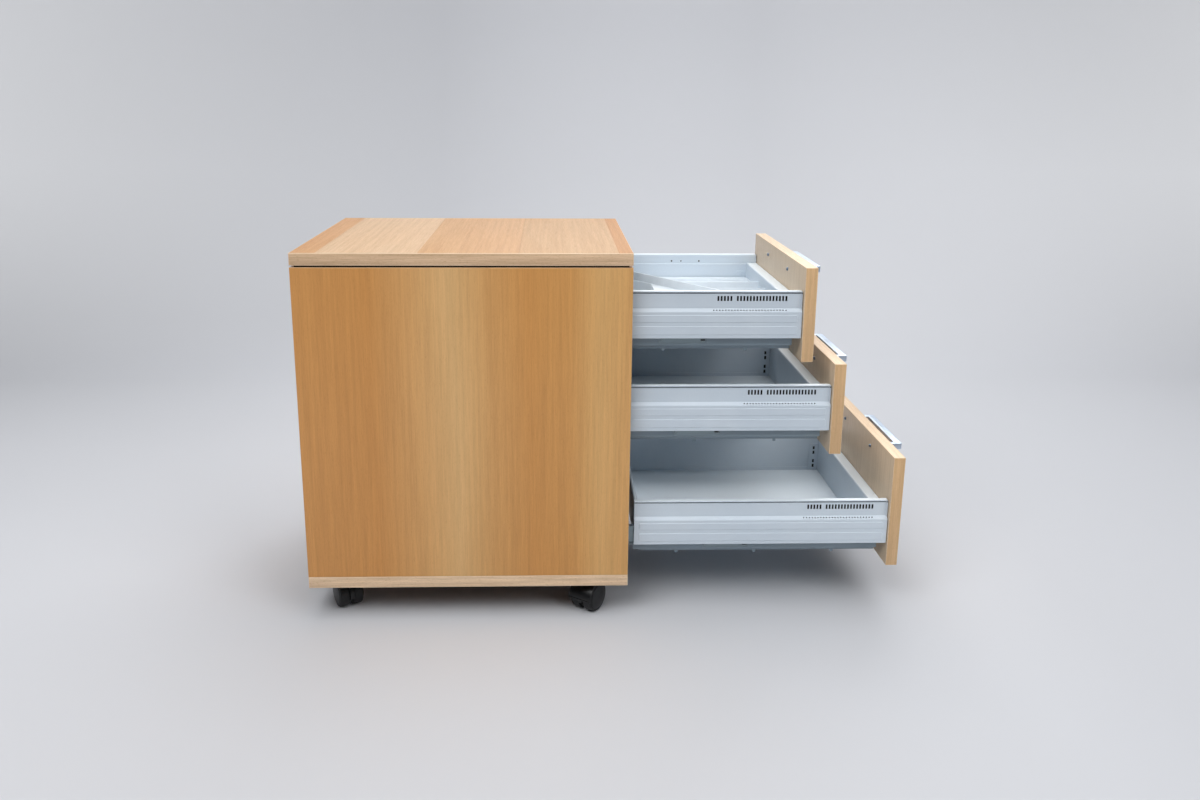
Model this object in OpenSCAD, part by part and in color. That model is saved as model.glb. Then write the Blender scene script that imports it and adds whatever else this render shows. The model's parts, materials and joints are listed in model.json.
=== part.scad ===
// Mobile pedestal with three steel drawers, twin-wheel casters and bow handles.
// +Z is up, the drawer fronts face -Y, and the wheels stand on z = 0.
// The drawers are drawn pulled out by the values in the Drawers section.

/* [Carcass] */
// Width of the carcass
carcass_w = 430; // [400:5:480]
// Depth of the carcass; closed fronts lie flush between its sides
carcass_d = 520; // [500:5:600]
// Height of the side panels, which stand on the base
side_h = 510; // [505:1:560]
// Thickness of the carcass boards
board_t = 19; // [18:1:22]
// Shadow gap between the side panels and the top
shadow_gap = 3; // [2:0.5:5]
// How far the spacer frame in the shadow gap is set back
shadow_setback = 6; // [3:1:10]
// Width of the spacer frame's strips
shadow_strip_w = 40; // [30:1:60]
// Depth of each rail that joins the sides at the top
top_rail_d = 80; // [60:5:120]
// Diameter of the wooden dowels
dowel_d = 8; // [6:1:10]
// Length of the wooden dowels
dowel_l = 30; // [24:1:34]

/* [Fronts] */
// Thickness of the drawer fronts
front_t = 19; // [16:1:22]
// Height of the top front
top_front_h = 151; // [140:1:154]
// Height of the middle front
middle_front_h = 151; // [140:1:154]
// Gap between the fronts and the side panels
front_side_gap = 1.5; // [1:0.1:3]
// Gap above the top front
top_gap = 3.5; // [2:0.5:6]
// Gap between the base and the bottom front
base_gap = 3.5; // [2:0.5:8]
// Gap between the top and middle fronts
upper_gap = 3.5; // [2:0.5:6]
// Gap between the middle and bottom fronts
lower_gap = 7.5; // [2:0.5:10]

/* [Drawers] */
// How far the top drawer stands open
top_open = 289; // [0:1:454]
// How far the middle drawer stands open
middle_open = 344; // [0:1:454]
// How far the bottom drawer stands open
bottom_open = 452; // [0:1:454]
// Distance from the top of the top front down to its drawer's rim
top_rim_drop = 38; // [20:1:50]
// Distance from the top of the middle front down to its drawer's rim
middle_rim_drop = 37; // [20:1:50]
// Distance from the base up to the foot of the bottom drawer's runners
base_clear = 24.8; // [10:0.1:40]
// Length of the steel drawer box
box_l = 422; // [400:1:440]
// Gap between the drawer sides and the carcass
side_gap = 6; // [4:0.5:10]
// Thickness of the formed steel sheet
sheet_t = 1.2; // [0.8:0.1:1.5]
// Inner radius of the sheet's bends
bend_r = 1; // [0.4:0.1:1.5]

/* [Drawer sides] */
// Width of the hollow lower part of a drawer side
side_w = 15; // [14.5:0.1:18]
// How far the rolled rim stands out over the upper skin
rim_over = 1.6; // [1.6:0.1:3]
// Width and height of the sloping step in the outer skin
step_w = 5; // [2:0.5:5]
// Distance from the rim down to the sloping step
step_drop = 28; // [26:1:33]
// Height of the outer skin
skin_h = 75; // [74:0.5:80]
// Distance from the rim down to the foot of the flange under the floor's lip
wall_h = 98; // [94:1:104]
// Depth of the strip at the top of the inner wall that is set back
strip_h = 18; // [14:1:24]
// How far that strip is set back
strip_set = 1; // [0.5:0.1:2]
// Distance from the rim down to the drawer's floor
floor_drop = 88; // [82:0.5:90]
// Width of the lip that carries the floor
lip_w = 12; // [8:0.5:16]
// How far the lip and its flange stop short of the side's ends
lip_in = 12; // [8:1:14]
// Gap between the front and the end of the side
end_gap = 1.2; // [0.8:0.1:2]
// Width of the raised border down the side's front end
border_w = 2.6; // [2:0.1:4]
// Height of the tabs under that flange
tab_h = 4; // [2:0.5:6]
// Width of the tabs under that flange
tab_w = 5; // [3:0.5:10]
// Distance between the tabs
tab_pitch = 132; // [100:0.5:140]
// Distance from the front to the first tab
tab_start = 84; // [60:1:100]
// How far the two pressed panels stand proud of the outer skin
bead_t = 0.6; // [0.4:0.1:1]
// Height of the upper pressed panel
upper_bead_h = 12; // [8:0.5:14]
// Height of the lower pressed panel
lower_bead_h = 14; // [8:0.5:16]
// Gap between the two pressed panels
bead_gap = 6; // [2:0.5:6]
// Gap above the upper one
bead_margin = 4.5; // [2:0.5:6]
// Distance from the ends of the side to the pressed panels
bead_end = 8; // [6:1:30]

/* [Slots] */
// Width of an upright slot in the outer skin
slot_w = 2.9; // [2:0.1:4]
// Height of an upright slot
slot_h = 8; // [4:0.1:9]
// Distance between the slots
slot_pitch = 5.1; // [4.5:0.1:6]
// Number of slot places, one of which is left out
slot_places = 22; // [10:1:24]
// Place that is left out, counted from the front
slot_blank = 16; // [4:1:20]
// Distance from the front to the first slot
slot_start = 26.5; // [14:0.5:40]
// Distance from the rim down to the middle of the slots
slot_drop = 12; // [8:0.5:16]
// Diameter of the round holes in the step
hole_d = 2.2; // [1:0.1:2.4]
// Distance between the round holes
hole_pitch = 4.75; // [4:0.05:6]
// Number of round holes
hole_count = 25; // [10:1:26]

/* [Box walls] */
// Distance from the front to the inner front wall
front_wall_y = 19; // [15:0.5:24]
// Distance from the rim down to the top of the inner front wall
front_wall_drop = 16; // [10:1:24]
// Height of the lip that hangs from the front wall's flange
wall_lip_h = 12; // [6:1:20]
// Distance from the side's rear end to the rear wall
rear_wall_in = 6; // [6:1:40]
// Width of the rear wall's top flange
rear_flange_w = 6; // [5:0.5:6]
// Distance from the rim down to the top of the rear wall
rear_wall_drop = 1; // [0.5:0.5:12]
// Height of the floor's upturned edges
floor_hem_h = 6.5; // [4:0.5:10]
// Height of the corner brackets
bracket_h = 56; // [40:1:60]
// Length of the corner brackets along the side
bracket_l = 18; // [14:1:30]

/* [Runners] */
// Thickness of the runner profiles
runner_t = 1.2; // [1:0.1:1.5]
// Clearance between the sliding profiles
runner_gap = 0.3; // [0.2:0.05:0.4]
// Height of the cabinet profile above its foot
runner_h = 34; // [30:0.5:36]
// Distance from the rim down to the foot of the cabinet profile
runner_drop = 76; // [76:0.5:78]
// Length of the cabinet profile
rail_l = 420; // [400:5:440]
// Length of the sliding profile between the other two
slide_l = 400; // [360:5:410]
// Distance from the closed fronts back to the cabinet profile
rail_set = 4; // [4:1:10]
// Depth of the foot's screw flange
foot_h = 15; // [12:0.5:20]
// Length of the catch plate under the middle profile's front end
catch_l = 76; // [30:1:90]
// Distance from the middle profile's front end to the hole in its catch plate
catch_hole = 6; // [6:1:20]

/* [Handles] */
// Distance between the handle's screws
handle_pitch = 150; // [96:1:192]
// How far the handle stands out from the front
handle_reach = 35; // [28:1:45]
// Width of the handle's legs
handle_leg = 10; // [9:0.5:14]
// Depth of the handle's bar
handle_bar = 12; // [8:0.5:14]
// Height of the handle
handle_h = 10; // [8:0.5:14]
// Distance from the front's top edge down to the handle's middle
handle_drop = 22; // [18:0.5:40]
// Radius of the handle's outer corners
handle_r = 3; // [1:0.5:5]
// Diameter of the handle's screws
screw_d = 4; // [3:0.5:5]

/* [Tray] */
// Depth of the pen tray from front to back
tray_d = 290; // [270:5:350]
// Height of the pen tray
tray_h = 45; // [30:1:60]
// Wall thickness of the pen tray and its dividers
tray_t = 2; // [1.5:0.5:3]
// Height of the dividers above the tray's floor
divider_h = 58; // [40:1:70]
// Depth of the tray's front-left corner, where the slanting divider starts
slant_start = 48; // [30:1:60]
// Distance from the tray's front to the well behind its shelf
well_y = 190; // [150:5:220]
// Width of the shelf's strip between the slant and the well, measured along Y
shelf_w = 4.5; // [4:0.5:35]
// Width of the ledge along the tray's right-hand side
ledge_w = 26; // [10:1:40]

/* [Casters] */
// Height from the floor to the base
caster_h = 58; // [58:1:70]
// Diameter of the wheels
wheel_d = 50; // [40:1:50]
// Width of one wheel
wheel_w = 19; // [16:0.5:22]
// Thickness of the web between the two wheels
web_t = 7; // [5:0.5:10]
// Distance from the swivel axis back to the axle
trail = 12; // [8:0.5:16]
// Diameter of the axle
axle_d = 6; // [4:0.5:8]
// Diameter of the swivel stem
stem_d = 8; // [6:0.5:10]
// Length of the stem above the base's underside
stem_l = 13; // [10:0.5:15]
// Distance from the side of the carcass to the swivel axis
caster_in_x = 46; // [42:1:60]
// Distance from the front and rear edges to the swivel axis
caster_in_y = 56; // [40:1:70]

/* [Hidden] */
$fn = 48;
eps = 0.01;

// Colours
veneer = "#c68f55";
pale_beech = "#d9b48a";
steel = "#b9c4d0";
zinc = "#aeb4ba";
silver = "#c9ced6";
black = "#1b1c1e";
dowel_wood = "#cfa877";

// Fits
screw_head_h = 2;
loose = 0.1;     // radial clearance of a screw or dowel in its hole
running = 0.05;  // radial clearance of the axles and stems
side_fit = 0.3;  // gap beside a loose piece

// Carcass
half_w = carcass_w / 2;
inner_half = half_w - board_t;
front_half = inner_half - front_side_gap;
reach = bottom_open + handle_reach;
front_y = (reach - carcass_d) / 2;
rear_y = front_y + carcass_d;
shut_y = front_y + front_t;  // inner face of a closed front
base_top = caster_h + board_t;
side_top = base_top + side_h;
top_z = side_top + shadow_gap;

// Drawers, listed from the top one down
drawer_open = [top_open, middle_open, bottom_open];
front_top = [
    side_top - top_gap,
    side_top - top_gap - top_front_h - upper_gap,
    side_top - top_gap - top_front_h - upper_gap - middle_front_h - lower_gap,
];
front_h = [top_front_h, middle_front_h, front_top[2] - base_top - base_gap];
rim_z = [
    front_top[0] - top_rim_drop,
    front_top[1] - middle_rim_drop,
    base_top + base_clear + foot_h + runner_t + runner_drop,
];
box_half = inner_half - side_gap - side_w;
rear_wall_y = box_l - rear_wall_in;
skin_x = side_w - step_w;
rim_w = skin_x + rim_over;
hem_r = sheet_t / 2 + 0.05;     // a fold that lies closed, to the middle of the sheet
fold_r = bend_r + sheet_t / 2;  // an open bend
bend_step = 15;                 // degrees between the points of a bend
lip_z = -floor_drop - 1.5 * sheet_t;  // middle of the lip that carries the floor
rivet_h = 0.8;
bead_r = 3;
insert_drop = 13;
insert_at = [[111.5, 3.2], [146, 2.6], [164, 3.2]];  // place and diameter of each insert hole
bead_top = -step_drop - step_w - bead_margin;
end_r = 2;  // round corner where the rim meets the border

// Runners, measured outwards from the drawer side's inner face
web_gap = 0.8;
rail_web_x = side_w - sheet_t - web_gap - runner_t;
runner_web_x = sheet_t + runner_t;
slide_web_x = (rail_web_x + runner_web_x) / 2;
slide_in_x = runner_web_x + runner_gap;
slide_out_x = rail_web_x - runner_gap;
rail_lip_x = slide_in_x + runner_t + 2 * runner_gap;
wall_x = side_w + side_gap;
runner_r = runner_t / 2 + 0.5;  // bends of the profiles, to the middle of the sheet
rail_end = 30;   // from the ends of the cabinet profile to its outer screws
rail_screw_y = [rail_end, rail_l / 2, rail_l - rail_end];
runner_end = 3;  // from the ends of the drawer side to its profile
catch_h = 10;
catch_slot = [7, 3.2];
catch_pin = [4, 2.4];  // from the catch plate's rear end to its pin hole, and the hole's diameter

// Tray
tray_half = box_half - sheet_t - rivet_h - side_fit;
tray_y = front_wall_y + sheet_t + side_fit;
pen_walls = [42.5, -18];
slant_left = -tray_half / 2;
slant_rise = 0.75;
slant_w = tray_t / cos(atan(slant_rise));  // a slanting wall's width along Y
well_in = 8;
well_r = 20;
tray_r = 6;
ledge_x = tray_half - ledge_w;

// Casters: position, angle of the trail and name of each corner
caster_x = half_w - caster_in_x;
caster_front_y = front_y + caster_in_y;
caster_rear_y = rear_y - caster_in_y;
caster_at = [
    [-caster_x, caster_front_y, 145],
    [caster_x, caster_front_y, 200],
    [-caster_x, caster_rear_y, 28],
    [caster_x, caster_rear_y, 320],
];
flange_t = 2.5;
socket_d = 15;
boss_d = 22;
wheel_gap = 0.5;
fender_in = wheel_d / 2 + 1;
fender_t = 2.2;
fender_far = fender_in + fender_t;
fender_end = 35;  // degrees above level where the fender ends ahead of the wheels
brim_over = 1;

// ---------- Helpers ----------

// Extrudes a profile drawn in X and Z from y = a to y = b.
module along_y(a, b) {
    translate([0, b, 0]) rotate([90, 0, 0]) linear_extrude(b - a) children();
}

// Extrudes a profile drawn in Y and Z from x = a to x = b.
module along_x(a, b) {
    translate([a, 0, 0]) rotate([90, 0, 90]) linear_extrude(b - a) children();
}

// A rectangle from [x0, y0] to [x1, y1].
module span(x0, y0, x1, y1) {
    translate([x0, y0]) square([x1 - x0, y1 - y0]);
}

// A rectangle with round corners.
module round_span(x0, y0, x1, y1, r) {
    span(x0 + r, y0, x1 - r, y1);
    span(x0, y0 + r, x1, y1 - r);
    for (x = [x0 + r, x1 - r], y = [y0 + r, y1 - r]) translate([x, y]) circle(r);
}

// Direction of a path's stretch from point k to the next, in degrees.
function heading(path, k) = let(d = path[k + 1] - path[k]) atan2(d[1], d[0]);

// How far the path turns at point k, positive to the left.
function turn(path, k) =
    k == 0 || k == len(path) - 1 ? 0 :
    let(a = heading(path, k) - heading(path, k - 1)) a > 180 ? a - 360 : a < -180 ? a + 360 : a;

// Points d to the left of a path whose bends have radius r[k] at point k.
function face_points(path, r, d) = [
    for (k = [0:len(path) - 1])
        let(
            a = heading(path, max(k - 1, 0)), bend = turn(path, k), side = sign(bend),
            steps = ceil(abs(bend) / bend_step),
            centre = path[k] - r[k] * tan(abs(bend) / 2) * [cos(a), sin(a)]
                + side * r[k] * [-sin(a), cos(a)]
        )
        for (j = [0:steps])
            let(b = a + (steps == 0 ? 0 : bend * j / steps))
            centre + (d - side * r[k]) * [-sin(b), cos(b)],
];

// Sheet of thickness t folded along a path through its middle.
module formed(path, r, t) {
    near = face_points(path, r, t / 2);
    far = face_points(path, r, -t / 2);
    polygon(concat(near, [for (k = [len(far) - 1:-1:0]) far[k]]));
}

module box(x0, x1, y0, y1, z0, z1) {
    translate([x0, y0, z0]) cube([x1 - x0, y1 - y0, z1 - z0]);
}

// A cylinder along X or Y, centred on its start point.
module rod_x(d, l) rotate([0, 90, 0]) cylinder(d = d, h = l);
module rod_y(d, l) rotate([-90, 0, 0]) cylinder(d = d, h = l);

module both_sides() {
    children();
    mirror([1, 0, 0]) children();
}

// Puts a drawer's parts in place: y = 0 is the inner face of its front, z = 0 its rim.
module at_drawer(i) {
    translate([0, shut_y - drawer_open[i], rim_z[i]]) children();
}

// Puts a right-hand profile's origin at the drawer side's inner face.
module at_side() translate([box_half, 0, 0]) children();

// ---------- Carcass ----------

dowel_x = half_w - board_t / 2;
base_dowel_in = 50;
rail_dowel_in = 20;
dowel_y = [front_y + base_dowel_in, (front_y + rear_y) / 2, rear_y - base_dowel_in];
rail_mid_z = side_top - board_t / 2;
rail_front_y = shut_y + 3;  // the front rail keeps clear of the top front
rail_dowel_y = [rail_front_y + rail_dowel_in, rail_front_y + top_rail_d - rail_dowel_in,
                rear_y - board_t - top_rail_d + rail_dowel_in, rear_y - board_t - rail_dowel_in];

// Upright dowels between the base and the sides, level ones between the rails and the sides.
module dowel_set(d, l) {
    for (y = dowel_y) both_sides()
        translate([dowel_x, y, base_top - l / 2]) cylinder(d = d, h = l);
    for (y = rail_dowel_y) both_sides()
        translate([inner_half - l / 2, y, rail_mid_z]) rod_x(d, l);
}

module dowel_holes() dowel_set(dowel_d + 2 * loose, dowel_l + 1);

top_screw_l = board_t + shadow_gap + 11;  // through a rail and the gap, 11 into the top
top_screw_at = [for (y = [rail_front_y + top_rail_d / 2, rear_y - board_t - top_rail_d / 2],
                     x = [-inner_half / 2, inner_half / 2]) [x, y]];

// Screws from the top rails up into the top panel.
module top_screw_set(d) {
    for (p = top_screw_at) translate([p[0], p[1], side_top - board_t - eps])
        cylinder(d = d, h = top_screw_l + eps);
}

// Rods where the three pairs of cabinet profiles are screwed to the side panels.
module rail_screw_set(d, l, start = 0) {
    for (i = [0:2], s = rail_screw_y) both_sides()
        translate([inner_half + start, shut_y + rail_set + s, rail_foot_z(i) - foot_h / 2])
            rod_x(d, l);
}

function rail_foot_z(i) = rim_z[i] - runner_drop - runner_t;

module top_panel() {
    color(pale_beech) difference() {
        box(-half_w, half_w, front_y, rear_y, top_z, top_z + board_t);
        top_screw_set(screw_d + 2 * loose);
    }
}

module base_panel() {
    color(pale_beech) difference() {
        box(-half_w, half_w, front_y, rear_y, caster_h, base_top);
        dowel_holes();
        for (c = caster_at) translate([c[0], c[1], caster_h - eps])
            cylinder(d = socket_d + 2 * loose, h = stem_l + 2);
    }
}

module side_panel() {
    difference() {
        box(inner_half, half_w, front_y, rear_y, base_top, side_top);
        dowel_holes();
        rail_screw_set(screw_d + 2 * loose, board_t - 5);
    }
}

module side_panel_left() {
    color(veneer) mirror([1, 0, 0]) side_panel();
}

module side_panel_right() {
    color(veneer) side_panel();
}

module back_panel() {
    color(veneer) box(-inner_half, inner_half, rear_y - board_t, rear_y, base_top, side_top);
}

module top_rails() {
    color(pale_beech) difference() {
        for (y = [rail_front_y, rear_y - board_t - top_rail_d])
            box(-inner_half, inner_half, y, y + top_rail_d, side_top - board_t, side_top);
        dowel_holes();
        top_screw_set(screw_d + 2 * loose);
    }
}

module spacer_frame() {
    x = half_w - shadow_setback;
    a = front_y + shadow_setback;
    b = rear_y - shadow_setback;
    color(black) difference() {
        translate([0, 0, side_top]) linear_extrude(shadow_gap) difference() {
            span(-x, a, x, b);
            span(-x + shadow_strip_w, a + shadow_strip_w, x - shadow_strip_w, b - shadow_strip_w);
        }
        top_screw_set(screw_d + 2 * loose);
    }
}

module dowels() {
    color(dowel_wood) dowel_set(dowel_d, dowel_l);
}

module carcass_screws() {
    color(zinc) {
        top_screw_set(screw_d);
        for (p = top_screw_at) translate([p[0], p[1], side_top - board_t - screw_head_h])
            cylinder(d = 2 * screw_d, h = screw_head_h);
        rail_screw_set(screw_d, board_t - 6);
        rail_screw_set(2 * screw_d, screw_head_h, -runner_t - screw_head_h);
        rail_screw_set(screw_d, runner_t + 2 * eps, -runner_t - eps);
    }
}

// ---------- Runners ----------

// Cabinet profile: a C on its side that rises into the hollow drawer side from a foot on the carcass.
module rail_profile() {
    h = runner_t / 2;
    top = -runner_drop + runner_h - h;
    foot = -runner_drop - h;
    formed([[rail_lip_x, foot], [wall_x - h, foot], [wall_x - h, foot - h - foot_h]],
           [0, 2 * runner_t, 0], runner_t);
    formed([[rail_lip_x, top], [rail_web_x + h, top], [rail_web_x + h, foot]],
           [0, runner_r, 0], runner_t);
}

// Middle profile: an H on its side that slides between the other two.
module slide_profile() {
    low = -runner_drop + runner_gap;
    high = -runner_drop + runner_h - runner_t - runner_gap;
    span(slide_in_x, low, slide_out_x, low + runner_t);
    span(slide_in_x, high - runner_t, slide_out_x, high);
    span(slide_web_x, low, slide_web_x + runner_t, high);
}

// Drawer profile: a C fixed to the outside of the drawer side's inner wall.
module runner_profile() {
    h = runner_t / 2;
    low = -runner_drop + 2 * runner_gap + runner_t + h;
    high = -runner_drop + runner_h - 2 * runner_t - 2 * runner_gap - h;
    tip = slide_web_x - runner_gap;
    web = sheet_t + h;
    formed([[tip, low], [web, low], [web, high], [tip, high]],
           [0, runner_r, runner_r, 0], runner_t);
}

module cabinet_rails(i) {
    color(zinc) difference() {
        translate([0, shut_y, rim_z[i]]) both_sides() at_side()
            along_y(rail_set, rail_set + rail_l) rail_profile();
        rail_screw_set(screw_d + 2 * loose, runner_t + 2 * eps, -runner_t - eps);
    }
}

// The middle profiles move half as far as their drawer.
module slides(i) {
    low = -runner_drop + runner_gap;
    color(zinc) translate([0, shut_y - drawer_open[i] / 2, rim_z[i]])
        both_sides() at_side() {
            along_y(rail_set, rail_set + slide_l) slide_profile();
            difference() {
                box(slide_in_x, slide_in_x + runner_t, rail_set, rail_set + catch_l,
                    low - catch_h, low + eps);
                translate([0, rail_set + catch_hole, low - catch_h / 2])
                    box(slide_in_x - eps, slide_in_x + runner_t + eps,
                        -catch_slot[0] / 2, catch_slot[0] / 2, -catch_slot[1] / 2, catch_slot[1] / 2);
                translate([slide_in_x - eps, rail_set + catch_l - catch_pin[0], low - catch_h / 2])
                    rod_x(catch_pin[1], runner_t + 2 * eps);
            }
        }
}

module runners(i) {
    color(zinc) at_drawer(i) both_sides() at_side()
        along_y(runner_end, box_l - runner_end) runner_profile();
}

// ---------- Drawers ----------

// Height of a front's top edge above its drawer's rim.
function rise(i) = front_top[i] - rim_z[i];

module front_panel(i) {
    color(pale_beech) at_drawer(i) difference() {
        box(-front_half, front_half, -front_t, 0, rise(i) - front_h[i], rise(i));
        handle_screw_rods(i, screw_d + 2 * loose, front_t + 2 * eps, eps);
    }
}

// Rods where a front's handle screws pass, from y = start towards the handle.
module handle_screw_rods(i, d, l, start) {
    for (x = [-handle_pitch / 2, handle_pitch / 2])
        translate([x, start - l, rise(i) - handle_drop]) rod_y(d, l);
}

screw_bite = 12;

module handle(i) {
    half = handle_pitch / 2 + handle_leg / 2;
    inner = handle_pitch / 2 - handle_leg / 2;
    depth = handle_reach - handle_bar;
    z = rise(i) - handle_drop - handle_h / 2;
    color(silver) at_drawer(i) difference() {
        translate([0, -front_t, z]) linear_extrude(handle_h) difference() {
            union() {
                round_span(-half, -handle_reach, half, -handle_reach + 3 * handle_r, handle_r);
                span(-half, -handle_reach + handle_r, half, 0);
            }
            round_span(-inner, -depth, inner, -depth + 3 * handle_r, handle_r);
            span(-inner, -depth + handle_r, inner, eps);
        }
        handle_screw_rods(i, screw_d + 2 * loose, front_t + screw_bite + 1, 0);
    }
}

// Pan-head screws with a cross recess, driven from inside the front.
module handle_screws(i) {
    head_d = 1.6 * screw_d;
    color(zinc) at_drawer(i) difference() {
        union() {
            handle_screw_rods(i, screw_d, front_t + screw_bite + eps, eps);
            for (x = [-handle_pitch / 2, handle_pitch / 2])
                translate([x, 0, rise(i) - handle_drop]) rotate([-90, 0, 0])
                    cylinder(d1 = head_d, d2 = 0.7 * head_d, h = 2.4);
        }
        for (x = [-handle_pitch / 2, handle_pitch / 2], a = [0, 90])
            translate([x, 1.4, rise(i) - handle_drop]) rotate([0, a, 0])
                translate([-2, 0, -0.4]) cube([4, 2, 0.8]);
    }
}

// One sheet from the lower skin up over the sloping step and the rolled rim, and down the inner wall.
module side_profile() {
    h = sheet_t / 2;
    hem = -h - 2 * hem_r;
    path = [
        [side_w - h, -skin_h], [side_w - h, -step_drop - step_w], [skin_x - h, -step_drop],
        [skin_x - h, hem], [rim_w - h, hem], [rim_w - h, -h], [strip_set + h, -h],
        [strip_set + h, -strip_h], [h, -strip_h - strip_set], [h, lip_z], [h - lip_w, lip_z],
        [h - lip_w, -wall_h],
    ];
    bends = [0, fold_r, fold_r, hem_r, hem_r, hem_r, fold_r, hem_r, hem_r, fold_r, fold_r, 0];
    formed(path, bends, sheet_t);
}

// Outline that closes the side's hollow at its front end and stands out over the upper skin.
module end_outline() {
    h = sheet_t / 2;
    polygon([[h, -skin_h], [side_w, -skin_h], [side_w, -step_drop - step_w],
             [rim_w, -step_drop - rim_over], [rim_w, -eps], [strip_set + h, -eps],
             [strip_set + h, -strip_h], [h, -strip_h - strip_set]]);
}

// Everything that is cut from the side's ends: the lip's notches and the rim's round corner.
module end_cuts() {
    inside = -lip_w - sheet_t;
    box(inside, sheet_t + eps, -eps, lip_in, -wall_h - eps, -skin_h);
    box(inside, -sheet_t, box_l - lip_in, box_l + eps, -wall_h - eps, lip_z - 2 * sheet_t);
    along_x(inside, side_w) difference() {
        span(end_gap - eps, -end_r, end_gap + end_r, eps);
        translate([end_gap + end_r, -end_r]) circle(end_r);
    }
}

// One long panel pressed outwards in the lower skin, with round corners and sloping edges.
module bead(z_top, h) {
    a = bead_end;
    b = box_l - bead_end;
    base = side_w - eps;
    face = side_w + bead_t;
    intersection() {
        along_x(base, face) round_span(a, z_top - h, b, z_top, bead_r);
        along_y(a, b) polygon([[base, z_top - h], [face, z_top - h + bead_t],
                               [face, z_top - bead_t], [base, z_top]]);
        translate([0, 0, z_top - h]) linear_extrude(h)
            polygon([[base, a], [face, a + bead_t], [face, b - bead_t], [base, b]]);
    }
}

module slot_cuts() {
    for (k = [0:slot_places - 1]) if (k != slot_blank)
        box(skin_x - sheet_t - eps, skin_x + eps,
            slot_start + k * slot_pitch - slot_w / 2, slot_start + k * slot_pitch + slot_w / 2,
            -slot_drop - slot_h / 2, -slot_drop + slot_h / 2);
    for (k = [0:hole_count - 1])
        translate([skin_x - sheet_t, slot_start + k * hole_pitch, -step_drop - step_w / 2])
            rod_x(hole_d, side_w - skin_x + 2 * sheet_t);
}

// Three holes for hanging an insert, in the strip at the top of the inner wall.
module insert_holes() {
    for (h = insert_at)
        translate([strip_set - eps, h[0], -insert_drop]) rod_x(h[1], sheet_t + 2 * eps);
}

module side_tabs() {
    for (k = [0:2]) translate([-lip_w, tab_start + k * tab_pitch - tab_w / 2, -wall_h - tab_h])
        cube([sheet_t, tab_w, tab_h + eps]);
}

module drawer_side(i) {
    color(steel) at_drawer(i) at_side() {
        difference() {
            union() {
                along_y(end_gap, box_l) side_profile();
                along_y(end_gap, end_gap + sheet_t) end_outline();
                box(skin_x - eps, rim_w, end_gap, end_gap + border_w, -step_drop - rim_over, -eps);
            }
            slot_cuts();
            insert_holes();
            end_cuts();
        }
        bead(bead_top, upper_bead_h);
        bead(bead_top - upper_bead_h - bead_gap, lower_bead_h);
        side_tabs();
    }
}

// Floor sheet with upturned long edges between the brackets and the rear wall.
module drawer_floor(i) {
    h = sheet_t / 2;
    z = -floor_drop - h;
    hem_start = front_wall_y + sheet_t + bracket_l + 1;
    edge = -2 * fold_r - h;
    color(steel) at_drawer(i) {
        box(-box_half - edge, box_half + edge, front_wall_y, rear_wall_y + sheet_t, z - h, z + h);
        both_sides() at_side() {
            along_y(hem_start, rear_wall_y)
                formed([[edge - eps, z], [-h, z], [-h, floor_hem_h - floor_drop]],
                       [0, fold_r, 0], sheet_t);
            box(edge - eps, -sheet_t, front_wall_y, hem_start + eps, z - h, z + h);
            box(edge - eps, -sheet_t, rear_wall_y - eps, rear_wall_y + sheet_t, z - h, z + h);
        }
    }
}

// Sheet that stands on the floor at y = a, folds over at the top and turns down at y = b.
module cross_wall(a, b, top) {
    z = top - sheet_t / 2;
    along_x(-box_half, box_half)
        formed([[a, -floor_drop], [a, z], [b, z], [b, top - wall_lip_h]],
               [0, fold_r, fold_r, 0], sheet_t);
}

// Wall behind the front: its top flange reaches the front and turns down against it.
module front_wall(i) {
    h = sheet_t / 2;
    color(steel) at_drawer(i) cross_wall(front_wall_y + h, h, -front_wall_drop);
}

module rear_wall(i) {
    h = sheet_t / 2;
    color(steel) at_drawer(i)
        cross_wall(rear_wall_y + h, rear_wall_y + rear_flange_w - h, -rear_wall_drop);
}

// Slotted plates riveted to the sides in the front corners.
module brackets(i) {
    y = front_wall_y + sheet_t;
    low = -floor_drop;
    mid = y + bracket_l / 2;
    pair = bracket_h / 4;
    slot = [4, 7];
    color(steel) at_drawer(i) both_sides() at_side() {
        difference() {
            box(-sheet_t, 0, y, y + bracket_l, low, low + bracket_h);
            for (z = [low + pair, low + bracket_h - pair], dz = [-5, 5])
                box(-sheet_t - eps, eps, mid - slot[0] / 2, mid + slot[0] / 2,
                    z + dz - slot[1] / 2, z + dz + slot[1] / 2);
        }
        for (z = [low + 4, low + bracket_h / 2, low + bracket_h - 4])
            translate([-sheet_t - rivet_h, mid, z]) rod_x(4, rivet_h + eps);
    }
}

// ---------- Pen tray ----------

// Puts the tray's parts in place: y = 0 is its front, z = 0 its underside.
module at_tray() {
    at_drawer(0) translate([0, tray_y, -floor_drop]) children();
}

// Outline of the tray, set in by g all round, with round corners.
module tray_plan(g) {
    round_span(-tray_half + g, g, tray_half - g, tray_d - g, tray_r - g);
}

// Plan of the shelf behind the slant and the ledge beside the troughs, drawn back by g.
module shelf_plan(g) {
    k = slant_w / tray_t;
    polygon([[ledge_x + g, 0], [tray_half, 0], [tray_half, tray_d], [-tray_half, tray_d],
             [-tray_half, slant_start + g], [slant_left - g * (k - 1) / slant_rise, slant_start + g],
             [ledge_x + g, slant_y(ledge_x + g) + g * k]]);
}

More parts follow.
